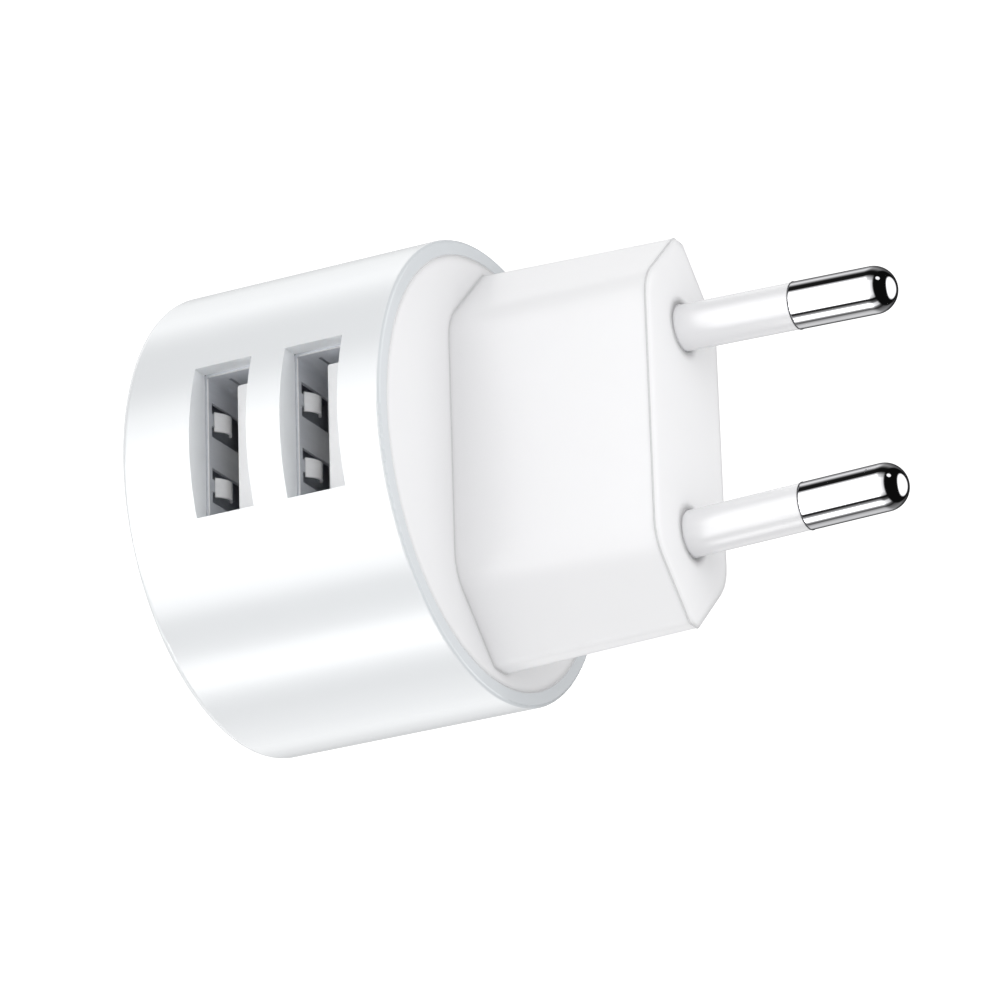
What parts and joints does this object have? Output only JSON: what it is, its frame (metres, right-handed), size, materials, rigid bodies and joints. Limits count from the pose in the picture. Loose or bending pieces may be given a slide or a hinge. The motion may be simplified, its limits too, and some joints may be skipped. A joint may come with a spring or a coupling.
{
  "type": "usb wall charger",
  "caption": "Round wall charger with USB-A ports in its curved side and a European plug block with insulated round pins on its front.",
  "frame": {"origin": "centre of the flat back face of the round housing", "axes": "+Z along the plug, from the back towards the pin tips; the USB ports face -Y; both pins lie in the XZ plane"},
  "size_m": [0.0405, 0.0405, 0.0625],
  "materials": {
    "gloss_white": "polished moulded ABS and polycarbonate",
    "satin_white": "finely eroded moulded polycarbonate",
    "sleeve_white": "smooth moulded nylon",
    "pin_chrome": "bright nickel plate on brass",
    "shell_steel": "nickel-plated spring steel sheet",
    "finger_steel": "nickel-plated spring steel",
    "tongue_white": "moulded liquid crystal polymer",
    "contact_plate": "pale gold flash over nickel on phosphor bronze",
    "board_black": "black solder mask on glass-epoxy board",
    "chip_black": "moulded epoxy",
    "barrier_sheet": "polyester insulating sheet",
    "ferrite_grey": "sintered ferrite",
    "bobbin_black": "moulded phenolic",
    "tape_yellow": "polyester tape",
    "can_black": "heat-shrunk PVC sleeve",
    "can_green": "heat-shrunk PVC sleeve",
    "dipped_blue": "dipped epoxy over ceramic",
    "resistor_green": "cement coat",
    "wire_brown": "PVC insulation",
    "wire_blue": "PVC insulation"
  },
  "bodies": {
    "charger": {"housing": "gloss_white", "plug_base": "satin_white", "pin_1": "pin_chrome", "pin_2": "pin_chrome", "pin_1_sleeve": "sleeve_white", "pin_2_sleeve": "sleeve_white", "pin_1_wire": "wire_brown", "pin_2_wire": "wire_blue", "port_1_shell": "shell_steel", "port_1_tongue": "tongue_white", "port_1_contacts": "contact_plate", "port_2_shell": "shell_steel", "port_2_tongue": "tongue_white", "port_2_contacts": "contact_plate", "usb_board": "board_black", "charge_controller": "chip_black", "link_pins": "contact_plate", "isolation_sheet": "barrier_sheet", "power_board": "board_black", "transformer_core": "ferrite_grey", "transformer_bobbin": "bobbin_black", "transformer_winding": "tape_yellow", "input_capacitor_1": "can_black", "input_capacitor_2": "can_black", "output_capacitor_1": "can_green", "output_capacitor_2": "can_green", "safety_capacitor": "dipped_blue", "filter_inductor": "ferrite_grey", "fusible_resistor": "resistor_green", "bridge_rectifier": "chip_black", "switching_controller": "chip_black", "output_rectifier": "chip_black"},
    "port_1_low_fingers": {"port_1_low_springs": "finger_steel"},
    "port_1_high_fingers": {"port_1_high_springs": "finger_steel"},
    "port_2_low_fingers": {"port_2_low_springs": "finger_steel"},
    "port_2_high_fingers": {"port_2_high_springs": "finger_steel"}
  },
  "joints": [
    {"name": "port_1_low_flex", "type": "hinge", "parent": "charger", "child": "port_1_low_fingers", "pos_m": [0, -0.0161, 0.00669], "axis": [-1, 0, 0], "range_deg": [0, 14], "stiffness_Nm_per_rad": 0.02},
    {"name": "port_1_high_flex", "type": "hinge", "parent": "charger", "child": "port_1_high_fingers", "pos_m": [0, -0.0161, 0.01211], "axis": [1, 0, 0], "range_deg": [0, 7], "stiffness_Nm_per_rad": 0.02},
    {"name": "port_2_low_flex", "type": "hinge", "parent": "charger", "child": "port_2_low_fingers", "pos_m": [0, -0.0161, 0.01534], "axis": [-1, 0, 0], "range_deg": [0, 14], "stiffness_Nm_per_rad": 0.02},
    {"name": "port_2_high_flex", "type": "hinge", "parent": "charger", "child": "port_2_high_fingers", "pos_m": [0, -0.0161, 0.02076], "axis": [1, 0, 0], "range_deg": [0, 7], "stiffness_Nm_per_rad": 0.02}
  ]
}
